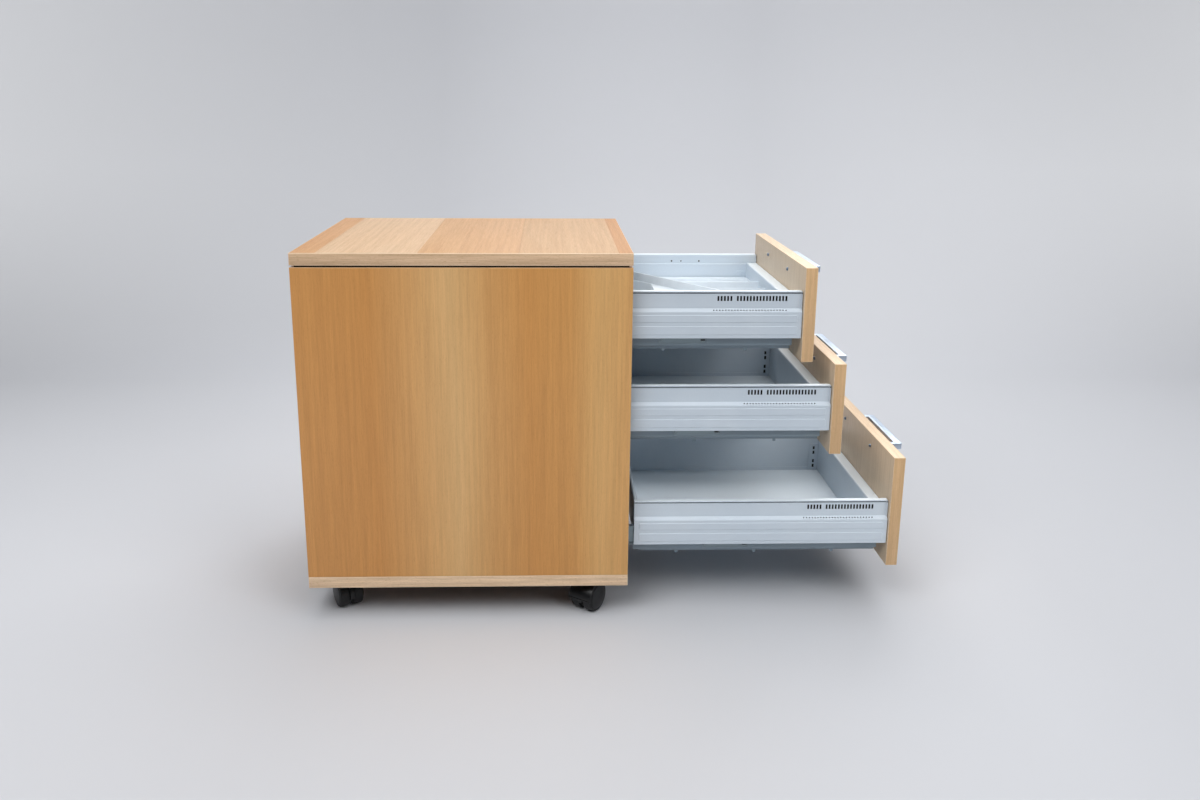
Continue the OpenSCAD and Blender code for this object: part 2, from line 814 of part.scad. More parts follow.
// Plan of the well, made larger all round by g: its front edge runs into a strip along the slant.
module well_plan(g) {
    k = slant_w / tray_t;
    side = tray_half - well_in + g;
    back = tray_d - well_in + g;
    front = well_y - g;
    strip = shelf_w - g * k;
    knee = slant_left + (front - strip - slant_start) / slant_rise;
    path = [[0, front], [knee, front], [side, slant_y(side) + strip], [side, back], [-side, back],
            [-side, front], [0, front]];
    polygon(face_points(path, [0, well_r + g, well_in, well_in, well_in, well_in, 0], 0));
}

// Plan of the space under the shelf and the ledge, which is open from below.
module under_shelf() {
    difference() {
        intersection() {
            shelf_plan(tray_t);
            tray_plan(tray_t);
        }
        well_plan(tray_t);
    }
}

// Moulded tray: troughs run to the front, with a ledge beside them and a shelf and well behind.
module pen_tray() {
    color(steel) at_tray() {
        linear_extrude(tray_t) difference() {
            tray_plan(0);
            under_shelf();
        }
        linear_extrude(tray_h) difference() {
            tray_plan(0);
            tray_plan(tray_t);
        }
        translate([0, 0, tray_h - tray_t]) linear_extrude(tray_t) difference() {
            intersection() {
                shelf_plan(0);
                tray_plan(tray_t / 2);
            }
            well_plan(0);
        }
        linear_extrude(tray_h) difference() {
            well_plan(tray_t);
            well_plan(0);
        }
        linear_extrude(tray_h) difference() {
            intersection() {
                shelf_plan(0);
                tray_plan(tray_t / 2);
            }
            shelf_plan(tray_t);
            well_plan(0);
        }
    }
}

// Where the tray's slanting wall begins at a given x.
function slant_y(x) = slant_start + slant_rise * (x - slant_left);

// A strip along the slant from x = a to x = b, set forward by d.
module slant_strip(d, a, b) {
    polygon([[a, slant_y(a) - d], [b, slant_y(b) - d],
             [b, slant_y(b) - d + slant_w], [a, slant_y(a) - d + slant_w]]);
}

// Dividers that stand in the tray: one along the slant, two between the pen troughs.
module tray_dividers() {
    in = tray_t + side_fit;
    color(steel) at_tray() translate([0, 0, tray_t]) {
        linear_extrude(divider_h) intersection() {
            span(-tray_half, in, ledge_x - side_fit, tray_d);
            slant_strip(slant_w, slant_left, tray_half);
        }
        linear_extrude(divider_h) for (x = pen_walls)
            polygon([[x - tray_t / 2, in], [x + tray_t / 2, in],
                     [x + tray_t / 2, slant_y(x + tray_t / 2) - slant_w + eps],
                     [x - tray_t / 2, slant_y(x - tray_t / 2) - slant_w + eps]]);
    }
}

// ---------- Casters ----------

// Puts a caster in place: z = 0 is the floor, the trail runs towards +X.
module at_caster(c) {
    translate([caster_at[c][0], caster_at[c][1], 0]) rotate([0, 0, caster_at[c][2]]) children();
}

module caster_sockets() {
    color(black) for (c = [0:3]) at_caster(c) difference() {
        union() {
            translate([0, 0, caster_h - flange_t]) cylinder(d = 2 * socket_d, h = flange_t);
            translate([0, 0, caster_h - eps]) cylinder(d = socket_d, h = stem_l + 1);
        }
        translate([0, 0, caster_h - flange_t - eps])
            cylinder(d = stem_d + 2 * running, h = flange_t + stem_l + 0.5);
    }
}

// Hood with a central web and a wide fender, the stem and the axle.
module caster_hood(c) {
    r = wheel_d / 2;
    half = web_t / 2 + wheel_gap + wheel_w - fender_t;
    color(black) at_caster(c) {
        stem();
        translate([trail, 0, r]) {
            rotate([90, 0, 0]) translate([0, 0, -web_t / 2]) linear_extrude(web_t) {
                intersection() {
                    circle(fender_in + fender_t / 2);
                    span(-fender_far, -axle_d, fender_far, fender_far);
                }
                circle(axle_d + fender_t);
            }
            rotate([90, 0, 0]) translate([0, 0, -half]) linear_extrude(2 * half) fender_outline();
            translate([0, -half + 3, 0]) rod_y(axle_d, 2 * half - 6);
        }
    }
}

// Flat boss over the wheels, with the stem that turns in the socket.
module stem() {
    low = wheel_d + 1;
    high = caster_h - flange_t - side_fit;
    translate([0, 0, low]) cylinder(d = boss_d, h = high - low);
    translate([0, 0, low]) cylinder(d = stem_d, h = caster_h + stem_l - low);
}

// Ring sector over the wheels from the trailing brim to just past the top.
module fender_outline() {
    far = 2 * fender_far;
    difference() {
        circle(fender_far);
        circle(fender_in);
        polygon([[0, 0], [far, 0], [far, -far], [-far, -far], [-far, far * tan(fender_end)]]);
    }
    span(fender_in, 0, fender_far + brim_over, fender_t);
}

// One domed wheel, its inner face at y = 0 and its outer face at y = wheel_w.
module wheel_shape() {
    r = wheel_d / 2;
    bore = axle_d / 2 + running;
    w = wheel_w;
    rotate([-90, 0, 0]) rotate_extrude() polygon([
        [bore, 0], [r - 1.5, 0], [r, 1.5], [r, w - 5.5], [r - 1, w - 4], [r - 3.5, w - 2.8],
        [r - 3.8, w - 3.5], [r - 4.4, w - 3.5], [r - 4.8, w - 2.4], [r / 2, w - 0.7], [0, w],
        [0, w - 4.5], [bore, w - 4.5],
    ]);
}

module caster_wheel(c, side) {
    color(black) at_caster(c) translate([trail, 0, wheel_d / 2])
        mirror([0, side, 0]) translate([0, web_t / 2 + wheel_gap, 0]) wheel_shape();
}

// ---------- Assembly ----------

top_panel();
base_panel();
side_panel_left();
side_panel_right();
back_panel();
top_rails();
spacer_frame();
dowels();
carcass_screws();
cabinet_rails(0);  // cabinet_rails_top
cabinet_rails(1);  // cabinet_rails_middle
cabinet_rails(2);  // cabinet_rails_bottom
caster_sockets();

front_panel(0);  // top_front
handle(0);  // top_handle
handle_screws(0);  // top_handle_screws
mirror([1, 0, 0]) drawer_side(0);  // top_side_left
drawer_side(0);  // top_side_right
drawer_floor(0);  // top_floor
front_wall(0);  // top_front_wall
rear_wall(0);  // top_rear_wall
brackets(0);  // top_brackets
runners(0);  // top_runners

front_panel(1);  // middle_front
handle(1);  // middle_handle
handle_screws(1);  // middle_handle_screws
mirror([1, 0, 0]) drawer_side(1);  // middle_side_left
drawer_side(1);  // middle_side_right
drawer_floor(1);  // middle_floor
front_wall(1);  // middle_front_wall
rear_wall(1);  // middle_rear_wall
brackets(1);  // middle_brackets
runners(1);  // middle_runners

front_panel(2);  // bottom_front
handle(2);  // bottom_handle
handle_screws(2);  // bottom_handle_screws
mirror([1, 0, 0]) drawer_side(2);  // bottom_side_left
drawer_side(2);  // bottom_side_right
drawer_floor(2);  // bottom_floor
front_wall(2);  // bottom_front_wall
rear_wall(2);  // bottom_rear_wall
brackets(2);  // bottom_brackets
runners(2);  // bottom_runners

pen_tray();
tray_dividers();
slides(0);  // top_slides
slides(1);  // middle_slides
slides(2);  // bottom_slides

caster_hood(0);  // caster_fl_hood
caster_wheel(0, 0);  // caster_fl_wheel_a
caster_wheel(0, 1);  // caster_fl_wheel_b
caster_hood(1);  // caster_fr_hood
caster_wheel(1, 0);  // caster_fr_wheel_a
caster_wheel(1, 1);  // caster_fr_wheel_b
caster_hood(2);  // caster_rl_hood
caster_wheel(2, 0);  // caster_rl_wheel_a
caster_wheel(2, 1);  // caster_rl_wheel_b
caster_hood(3);  // caster_rr_hood
caster_wheel(3, 0);  // caster_rr_wheel_a
caster_wheel(3, 1);  // caster_rr_wheel_b
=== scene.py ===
"""Mobile drawer pedestal: visible pieces, materials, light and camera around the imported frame.

Metres, +Z up, the drawer fronts face -Y. The camera looks along +X at the left side.
"""
import json
import math

import bmesh
import bpy
from mathutils import Matrix, Vector


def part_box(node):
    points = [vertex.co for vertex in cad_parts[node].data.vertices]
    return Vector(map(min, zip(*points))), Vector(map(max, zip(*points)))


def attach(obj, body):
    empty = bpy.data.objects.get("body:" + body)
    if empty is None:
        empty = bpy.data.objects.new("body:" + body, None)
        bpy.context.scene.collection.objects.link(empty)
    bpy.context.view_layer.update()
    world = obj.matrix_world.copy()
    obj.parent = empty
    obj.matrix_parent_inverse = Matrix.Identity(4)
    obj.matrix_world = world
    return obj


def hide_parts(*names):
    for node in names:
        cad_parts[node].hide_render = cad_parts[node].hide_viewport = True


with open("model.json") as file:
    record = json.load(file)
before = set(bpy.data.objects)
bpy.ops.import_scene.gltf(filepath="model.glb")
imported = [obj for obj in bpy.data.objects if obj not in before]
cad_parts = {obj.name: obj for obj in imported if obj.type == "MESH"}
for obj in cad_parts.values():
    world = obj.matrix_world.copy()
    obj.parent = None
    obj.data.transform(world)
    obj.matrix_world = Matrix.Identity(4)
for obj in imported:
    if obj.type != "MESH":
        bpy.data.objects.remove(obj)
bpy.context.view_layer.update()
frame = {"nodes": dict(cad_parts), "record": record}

NODES = list(frame["nodes"])
DRAWERS = ("top", "middle", "bottom")
CORNERS = ("fl", "fr", "rl", "rr")
JOINTS = {joint["name"]: joint for joint in frame["record"]["behaviour"]["joints"]}
SLOTS = {part["node"]: part["material_slot"] for part in frame["record"]["subparts"]}
RIMS = [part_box(drawer + "_side_left")[1][2] for drawer in DRAWERS]    # heights of the rims
TOP_FRONT_Y, TOP_REAR_Y = (corner[1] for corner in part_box("top_panel"))


# ---------- Camera ----------

CAMERA_AT = Vector((-1.7019, 0.1110, 0.8461))
CAMERA_YAW = -0.0300
CAMERA_PITCH = 0.2379
CAMERA_ROLL = 0.0061
CAMERA_LENS = 29.80
CAMERA_SENSOR = 36
CAMERA_SHIFT = (0.0177, -0.0558)
CAMERA_REACH = 50


def make_camera():
    """Place the camera that the photo's straight edges give."""
    forward = Vector((math.cos(CAMERA_YAW) * math.cos(CAMERA_PITCH),
                      math.sin(CAMERA_YAW) * math.cos(CAMERA_PITCH),
                      -math.sin(CAMERA_PITCH)))
    level = forward.cross(Vector((0, 0, 1))).normalized()
    up = level.cross(forward)
    c, s = math.cos(CAMERA_ROLL), math.sin(CAMERA_ROLL)
    right, top = c * level + s * up, -s * level + c * up
    data = bpy.data.cameras.new("photo_camera")
    data.lens = CAMERA_LENS
    data.sensor_width = CAMERA_SENSOR
    data.shift_x, data.shift_y = CAMERA_SHIFT
    data.clip_end = CAMERA_REACH
    camera = bpy.data.objects.new("photo_camera", data)
    turn = Matrix((right, top, -forward)).transposed().to_4x4()
    camera.matrix_world = Matrix.Translation(CAMERA_AT) @ turn
    bpy.context.scene.collection.objects.link(camera)
    bpy.context.scene.camera = camera


# ---------- Node helpers ----------

def srgb(r, g, b):
    """An sRGB colour, 0 to 255, as linear values."""
    def linear(v):
        v /= 255
        return v / 12.92 if v <= 0.04045 else ((v + 0.055) / 1.055) ** 2.4
    return (linear(r), linear(g), linear(b), 1.0)


class Shader:
    """A material's node tree with short calls for the nodes used here."""

    def __init__(self, name, roughness=0.5, specular=0.5, metallic=0.0):
        self.material = bpy.data.materials.new(name)
        self.material.use_nodes = True
        self.tree = self.material.node_tree
        self.surface = self.tree.nodes["Principled BSDF"]
        self.surface.inputs["Roughness"].default_value = roughness
        self.surface.inputs["Specular IOR Level"].default_value = specular
        self.surface.inputs["Metallic"].default_value = metallic
        self.place = self.node("ShaderNodeTexCoord").outputs["Object"]

    def node(self, kind, **values):
        node = self.tree.nodes.new(kind)
        for key, value in values.items():
            setattr(node, key, value)
        return node

    def link(self, value, socket):
        """Connect a socket, or write a plain value."""
        if isinstance(value, bpy.types.NodeSocket):
            self.tree.links.new(value, socket)
        else:
            socket.default_value = value

    def scaled(self, scale, offset=(0, 0, 0), turn=(0, 0, 0)):
        """The place on the object, scaled, moved and turned."""
        node = self.node("ShaderNodeMapping")
        node.inputs["Scale"].default_value = scale
        self.link(offset, node.inputs["Location"])
        node.inputs["Rotation"].default_value = turn
        self.link(self.place, node.inputs["Vector"])
        return node.outputs["Vector"]

    def noise(self, scale, detail=4.0, rough=0.55, offset=(0, 0, 0), turn=(0, 0, 0)):
        """Noise with so many features per metre: one number, or one for each axis."""
        scale = scale if isinstance(scale, tuple) else (scale, scale, scale)
        node = self.node("ShaderNodeTexNoise")
        self.link(self.scaled(scale, offset, turn), node.inputs["Vector"])
        node.inputs["Scale"].default_value = 1.0
        node.inputs["Detail"].default_value = detail
        node.inputs["Roughness"].default_value = rough
        return node.outputs["Fac"]

    def math(self, what, *values):
        node = self.node("ShaderNodeMath", operation=what)
        for socket, value in zip(node.inputs, values):
            self.link(value, socket)
        return node.outputs[0]

    def times(self, a, b):
        return self.math("MULTIPLY", a, b)

    def size(self, value):
        """A value without its sign."""
        return self.math("ABSOLUTE", value)

    def largest(self, first, *others):
        for other in others:
            first = self.math("MAXIMUM", first, other)
        return first

    def between(self, value, low, high):
        """1 where a value lies between two limits, else 0."""
        return self.times(self.math("GREATER_THAN", value, low),
                          self.math("LESS_THAN", value, high))

    def span(self, value, low, high, to_low=0.0, to_high=1.0):
        """Map low..high onto to_low..to_high, clamped."""
        node = self.node("ShaderNodeMapRange")
        for key, v in (("Value", value), ("From Min", low), ("From Max", high),
                       ("To Min", to_low), ("To Max", to_high)):
            self.link(v, node.inputs[key])
        return node.outputs["Result"]

    def ramp(self, value, stops, how="LINEAR"):
        """A colour ramp from (position, colour) pairs."""
        node = self.node("ShaderNodeValToRGB")
        node.color_ramp.interpolation = how
        elements = node.color_ramp.elements
        while len(elements) < len(stops):
            elements.new(0.5)
        for element, (position, colour) in zip(elements, stops):
            element.position, element.color = position, colour
        self.link(value, node.inputs["Fac"])
        return node.outputs["Color"]

    def mix(self, factor, a, b, how="MIX"):
        """Two colours mixed; the node's first sockets of each kind are for plain numbers."""
        node = self.node("ShaderNodeMix", data_type="RGBA", blend_type=how)
        self.link(factor, node.inputs[0])
        self.link(a, node.inputs[6])
        self.link(b, node.inputs[7])
        return node.outputs[2]

    def tinted(self, colour, tint):
        """A colour multiplied by a tint."""
        return self.mix(1.0, colour, tint, "MULTIPLY")

    def axis(self, name, source=None):
        """One axis of the place on the object, or of another vector."""
        node = self.node("ShaderNodeSeparateXYZ")
        self.link(source or self.place, node.inputs[0])
        return node.outputs[name]

    def facing(self, name):
        """How far the surface faces along one axis, -1 to 1."""
        return self.axis(name, self.node("ShaderNodeNewGeometry").outputs["Normal"])

    def combined(self, x, y, z):
        node = self.node("ShaderNodeCombineXYZ")
        for socket, value in zip(node.inputs, (x, y, z)):
            self.link(value, socket)
        return node.outputs[0]

    def bump(self, height, distance, strength):
        node = self.node("ShaderNodeBump")
        self.link(height, node.inputs["Height"])
        node.inputs["Distance"].default_value = distance
        node.inputs["Strength"].default_value = strength
        self.link(node.outputs["Normal"], self.surface.inputs["Normal"])

    def rough(self, value):
        self.link(value, self.surface.inputs["Roughness"])

    def colour(self, value):
        self.link(value, self.surface.inputs["Base Color"])


NOISE = (0.3, 0.7)       # the range that most of a noise lies in


# ---------- Wood ----------

GRAIN_FINE = 1100        # fine streaks per metre across the grain
GRAIN_WIDE = 190
FLECK_FINE = 1600
STREAK = 40              # how much longer than wide a streak is
FLECK = 9                # how much longer than wide a ray fleck is
GRAIN_DEPTH = 0.00006
STREAK_GREEN = 1.15      # a streak's strength in green and blue, against 1 in red
STREAK_BLUE = 1.35
FLECK_TINT = (0.736, 0.656, 0.544, 1)


def along(grain, fine, stretch):
    """Texture scale whose features lie along one axis."""
    return tuple(fine / stretch if axis == grain else fine for axis in "XYZ")


def beech(name, tone, grain, contrast=1.0, seed=0.0, roughness=0.38, specular=0.4,
          turn=(0, 0, 0), offset=None):
    """Lacquered beech: a tone, fine and wide streaks along the grain, and short ray flecks.

    tone is a colour or a function of the shader that gives one. offset is a function of the
    shader that moves the pattern, and the seed moves it otherwise.
    """
    s = Shader(name, roughness=roughness, specular=specular)
    shift = offset(s) if offset else (seed, seed * 1.7, seed * 2.3)
    fine = s.noise(along(grain, GRAIN_FINE, STREAK), 3.0, 0.6, shift, turn)
    wide = s.noise(along(grain, GRAIN_WIDE, STREAK), 2.0, 0.5, shift, turn)
    fleck = s.noise(along(grain, FLECK_FINE, FLECK), 1.0, offset=shift, turn=turn)
    shade = s.times(s.span(wide, 0.32, 0.68, 1 - 0.09 * contrast, 1 + 0.07 * contrast),
                    s.span(fine, *NOISE, 1 - 0.10 * contrast, 1 + 0.08 * contrast))
    streaks = s.combined(shade, s.math("POWER", shade, STREAK_GREEN),
                         s.math("POWER", shade, STREAK_BLUE))
    lit = s.tinted(tone(s) if callable(tone) else tone, streaks)
    marks = s.span(fleck, 0.60, 0.72, 0.0, 0.55 * contrast)
    s.colour(s.mix(marks, lit, s.tinted(lit, FLECK_TINT)))
    s.rough(s.span(fine, *NOISE, roughness + 0.06, roughness - 0.05))
    s.bump(s.math("SUBTRACT", fine, s.times(marks, 0.5)), GRAIN_DEPTH, 0.4)
    return s.material


# Where the top's veneer leaves begin, from the front edge to the rear edge
LEAF_STARTS = tuple(TOP_FRONT_Y + reach for reach in (0.0, 0.021, 0.174, 0.327, 0.480))
LEAF_COLOURS = (srgb(190, 142, 97), srgb(194, 159, 122), srgb(198, 159, 120),
                srgb(209, 180, 149), srgb(199, 156, 116))
LEAF_CLOUD = (2.2, 9.0, 2.2)          # clouds per metre
LEAF_CLOUD_TINT = srgb(250, 238, 226)
LEAF_LINE = srgb(176, 128, 88)
LEAF_LINE_HALF = (0.0002, 0.0007)     # from the line's middle to where it fades and ends
LEAF_SHIFT = 0.23                     # how far the pattern moves from one leaf to the next


def by_leaf(s, colours):
    """One of the colours for each leaf of the top."""
    depth = TOP_REAR_Y - TOP_FRONT_Y
    stops = [((y - TOP_FRONT_Y) / depth, colour) for y, colour in zip(LEAF_STARTS, colours)]
    return s.ramp(s.span(s.axis("Y"), TOP_FRONT_Y, TOP_REAR_Y), stops, "CONSTANT")


def top_tone(s):
    """A tone of its own for each veneer leaf, with a faint line where two meet."""
    leaf = by_leaf(s, LEAF_COLOURS)
    cloud = s.span(s.noise(LEAF_CLOUD, detail=2.0), 0.35, 0.65, 0.0, 0.35)
    leaf = s.mix(cloud, leaf, s.tinted(leaf, LEAF_CLOUD_TINT))
    y = s.axis("Y")
    lines = [s.span(s.size(s.math("SUBTRACT", y, start)), *LEAF_LINE_HALF, 0.45, 0.0)
             for start in LEAF_STARTS[1:]]
    return s.mix(s.largest(*lines), leaf, LEAF_LINE)


def leaf_offset(s):
    """Move the grain's pattern from leaf to leaf."""
    shifts = [k * LEAF_SHIFT for k in range(len(LEAF_STARTS))]
    step = by_leaf(s, [(shift, shift, shift, 1) for shift in shifts])
    return s.combined(s.axis("X", step), s.axis("Y", step), 0.0)


# Tones across the side panel's veneer, from its rear edge to its front edge
SIDE_TONES = ((0.0, srgb(202, 146, 86)), (0.22, srgb(199, 142, 81)),
              (0.36, srgb(208, 159, 102)), (0.47, srgb(214, 173, 119)),
              (0.58, srgb(204, 154, 96)), (0.70, srgb(199, 143, 81)),
              (0.83, srgb(202, 148, 86)), (0.92, srgb(212, 167, 108)),
              (1.0, srgb(209, 161, 102)))
SIDE_SWAY = 0.05                      # metres by which the bands wander
SIDE_SWAYS = (3, 3, 1.2)              # bends per metre
SIDE_FOOT_LIGHT = (1.14, 1.12, 1.07, 1)      # painted light: how much paler the veneer is made at the foot
SIDE_FOOT_LIGHT_Z = (0.10, 0.58)             # heights between which that fades out


def side_tone(s):
    """Broad upright bands of paler and more orange veneer, with painted light making the foot
    paler.
    """
    sway = s.math("SUBTRACT", s.noise(SIDE_SWAYS, detail=1.0), 0.5)
    y = s.math("ADD", s.axis("Y"), s.times(sway, SIDE_SWAY))
    veneer = s.ramp(s.span(y, TOP_REAR_Y, TOP_FRONT_Y), SIDE_TONES)
    # Painted light: the veneer paler towards the foot
    return s.mix(s.span(s.axis("Z"), *SIDE_FOOT_LIGHT_Z), s.tinted(veneer, SIDE_FOOT_LIGHT), veneer)


LIPPING_SLOPE = (0.035, 0, 0)    # radians by which the lipping's grain runs off its edge

# Colour or tone, grain's axis and the rest of what beech() takes
WOODS = {
    "side_veneer": (side_tone, "Z", dict(contrast=0.7, seed=0.3)),
    "pale_veneer": (srgb(222, 190, 158), "X", dict(seed=1.1)),
    "front_veneer": (srgb(207, 170, 128), "Z", dict(seed=2.1)),
    "dowel_wood": (srgb(222, 190, 150), "Z", dict(seed=3.1)),
    "top_veneer": (top_tone, "X", dict(contrast=0.8, roughness=0.5, specular=0.15,
                                       offset=leaf_offset)),
    "lipping": (srgb(215, 183, 149), "Y", dict(contrast=1.5, seed=4.2, turn=LIPPING_SLOPE)),
    "base_lipping": (srgb(231, 201, 168), "Y", dict(contrast=1.5, seed=4.9,
                                                    turn=LIPPING_SLOPE)),
    "end_lipping": (srgb(212, 180, 146), "X", dict(contrast=1.5, seed=5.2)),
    "inner_veneer": (srgb(138, 104, 72), "Z", dict(contrast=0.7, seed=3.7)),
    "backing": (srgb(112, 84, 60), "X", dict(contrast=0.6, seed=5.7, roughness=0.6)),
    "edge_band": (srgb(206, 166, 120), "Z", dict(contrast=1.2, seed=6.4)),
    "front_end": (srgb(214, 177, 133), "Z", dict(contrast=0.8, seed=7.3)),
    "front_inside": (srgb(218, 196, 168), "Z", dict(contrast=0.6, seed=8.5)),
    "front_edge": (srgb(232, 204, 170), "X", dict(contrast=1.1, seed=9.6)),
    # Paler and shinier than the faces: worn lacquer and a painted highlight on the rounded edges
    "arris": (srgb(236, 212, 184), "Y", dict(contrast=0.6, seed=1.9, roughness=0.3)),
}


# ---------- Metal and plastic ----------

HOLLOW_X = (0.17612, 0.18488)    # the hollow inside a drawer's side, from the middle plane
# Heights of a drawer's side, measured down from its rim
HOLLOW_Z = (0.0027, 0.0750)
RIM_SHADOW_Z = (0.0021, 0.0044)     # painted shadow line under the folded rim
UNDER_SKIN = (0.0752, 0.1030)    # the inner wall, lip and tabs below the outer skin, where shade is painted

# Painted shade: black inside the hollow, where the holes show no light
HOLLOW_SHADE = srgb(14, 15, 17)
# Painted shadow line under the rim
RIM_SHADOW = srgb(74, 84, 92)
# Painted shade below the outer skins
UNDER_SKIN_SHADE = srgb(176, 186, 190)
COAT_CLOUD_TINT = srgb(246, 248, 250)
COAT_SPECK = srgb(236, 240, 244)
COAT_TOP_SHADE = srgb(236, 236, 237)    # painted shade on the outer skins, stronger towards the top
COAT_TOP_SHADE_Z = (0.20, 0.56)
COAT_UP_LIGHT = srgb(238, 248, 255)         # painted light on what faces up
COAT_PEEL_DEPTH = 0.00003


def below_rim(s, high, low):
    """1 between two heights measured down from any drawer's rim."""
    z = s.axis("Z")
    return s.largest(*(s.between(z, rim - low, rim - high) for rim in RIMS))


def powder_coat(name, colour, roughness=0.34):
    """Baked powder paint on the drawers' sides: fine orange peel, faint clouds, pale dust
    specks, and painted light and shade: black inside the hollow, where the holes show no light,
    a shadow line under the rim, shade below the outer skins, outer skins darker towards the top
    and what faces up paler.
    """
    s = Shader(name, roughness=roughness)
    cloud = s.noise(9, detail=3.0)
    speck = s.noise(1500, detail=0.0, offset=(3, 1, 2))
    tint = s.mix(s.span(cloud, *NOISE), colour, s.tinted(colour, COAT_CLOUD_TINT))
    tint = s.mix(s.span(speck, 0.70, 0.78, 0.0, 0.35), tint, COAT_SPECK)
    outward = s.times(s.facing("X"), s.math("SIGN", s.axis("X")))
    outward = s.math("GREATER_THAN", outward, 0.5)
    # Painted shade: outward faces darker towards the top
    high = s.times(outward, s.span(s.axis("Z"), *COAT_TOP_SHADE_Z, 0.0, 0.75))
    tint = s.mix(high, tint, s.tinted(tint, COAT_TOP_SHADE))
    # Painted shadow line under the folded rim, on outward faces
    joint = s.times(outward, below_rim(s, *RIM_SHADOW_Z))
    tint = s.mix(s.times(joint, 0.9), tint, RIM_SHADOW)
    # Painted shade on the inner wall, lip and tabs below the outer skin
    open_below = s.largest(outward, s.math("LESS_THAN", s.facing("Z"), -0.5))
    under = s.times(open_below, below_rim(s, *UNDER_SKIN))
    tint = s.mix(under, tint, s.tinted(tint, UNDER_SKIN_SHADE))
    # Painted light: faces that look up are made paler
    tint = s.mix(s.span(s.facing("Z"), 0.90, 0.99, 0.0, 0.85), tint, COAT_UP_LIGHT)
    # Painted shade: black inside the hollow, where the holes show no light
    inside = s.between(s.size(s.axis("X")), *HOLLOW_X)
    s.colour(s.mix(s.times(inside, below_rim(s, *HOLLOW_Z)), tint, HOLLOW_SHADE))
    s.rough(s.span(cloud, *NOISE, roughness - 0.04, roughness + 0.06))
    s.bump(s.noise(900, detail=2.0), COAT_PEEL_DEPTH, 0.5)
    return s.material


DRAW_LINES = 2600        # lines per metre across the drawing direction
DRAW_STRETCH = 90        # how much longer than wide a line is
DRAW_TINT = srgb(205, 208, 212)
DRAW_DEPTH = 0.00002
PLATED_CLOUD = srgb(150, 156, 160)


def plated(name, colour, roughness=0.34, grain="Y", webs_shade=None):
    """Zinc-plated or brushed metal with draw lines along one axis.

    The last argument paints shade on the faces that look sideways.
    """
    s = Shader(name, roughness=roughness, metallic=1.0)
    line = s.noise(along(grain, DRAW_LINES, DRAW_STRETCH), detail=2.0)
    cloud = s.noise(40, detail=3.0)
    tint = s.mix(s.span(line, *NOISE, 0.0, 0.5), colour, s.tinted(colour, DRAW_TINT))
    tint = s.mix(s.span(cloud, 0.45, 0.7, 0.0, 0.25), tint, PLATED_CLOUD)
    # Painted shade on the faces that look sideways
    if webs_shade:
        tint = s.mix(s.span(s.size(s.facing("X")), 0.4, 0.8), tint, webs_shade)
    s.colour(tint)
    s.rough(s.span(line, *NOISE, roughness - 0.07, roughness + 0.09))
    s.bump(line, DRAW_DEPTH, 0.4)
    return s.material


MOULDED_CLOUD_TINT = srgb(236, 236, 238)


def moulded(name, colour, roughness, grain_size, depth, dust=None, specular=0.5):
    """Moulded plastic with a fine spark-eroded grain, and dust where given."""
    s = Shader(name, roughness=roughness, specular=specular)
    grain = s.noise(grain_size, detail=3.0)
    cloud = s.noise(30, detail=3.0)
    tint = s.mix(s.span(cloud, *NOISE, 0.0, 0.6), colour,
                 s.tinted(colour, MOULDED_CLOUD_TINT))
    if dust:
        speck = s.span(s.noise(420), 0.5, 0.75, 0.0, 0.25)
        tint = s.mix(s.times(speck, s.span(cloud, 0.4, 0.7)), tint, dust)
    s.colour(tint)
    s.rough(s.span(grain, *NOISE, roughness - 0.06, roughness + 0.08))
    s.bump(grain, depth, 0.5)
    return s.material


def make_materials():
    made = {name: beech(name, tone, grain, **rest)
            for name, (tone, grain, rest) in WOODS.items()}
    made.update({
        "drawer_steel": powder_coat("drawer_steel", srgb(210, 221, 231)),
        "runner_steel": plated("runner_steel", srgb(196, 204, 212), webs_shade=srgb(128, 141, 147)),
        "zinc_steel": plated("zinc_steel", srgb(112, 122, 134), grain="X"),
        "handle_metal": plated("handle_metal", srgb(206, 218, 234), roughness=0.42, grain="X"),
        "tray_plastic": moulded("tray_plastic", srgb(226, 235, 242), 0.42, 1500, 0.00003),
        "black_strip": moulded("black_strip", srgb(46, 34, 26), 0.75, 700, 0.00008),
        "black_plastic": moulded("black_plastic", srgb(14, 15, 17), 0.34, 1300, 0.00004,
                                 dust=srgb(66, 65, 62), specular=0.4),
        "black_tread": moulded("black_tread", srgb(13, 13, 15), 0.48, 900, 0.00006,
                               dust=srgb(84, 82, 78), specular=0.4),
    })
    return made


def dress():
    """Give every CAD node the material of its slot in the record."""
    for node in NODES:
        piece = frame["nodes"][node]
        piece.data.materials.clear()
        piece.data.materials.append(materials[SLOTS[node]])


# ---------- Pieces ----------

def body_named(node):
    """The body that a node belongs to in the record."""
    for body, nodes in frame["record"]["behaviour"]["bodies"].items():
        if node in nodes:
            return body
    raise ValueError(node)


def add_piece(name, bm, node, names, smooth=40, stands_for=True):
    """Make an object from a bmesh, with the named materials.

    It rides on a node's body and stands for the node unless told not to. Edges of less than
    smooth degrees look round.
    """
    mesh = bpy.data.meshes.new(name)
    bm.normal_update()
    for face in bm.faces:
        face.smooth = True
    for edge in bm.edges:
        edge.smooth = (len(edge.link_faces) == 2
                       and edge.calc_face_angle() < math.radians(smooth))
    bm.to_mesh(mesh)
    bm.free()
    for material in names:
        mesh.materials.append(materials[material])
    piece = bpy.data.objects.new(name, mesh)
    bpy.context.scene.collection.objects.link(piece)
    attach(piece, body_named(node))
    if stands_for:
        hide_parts(node)
    return piece


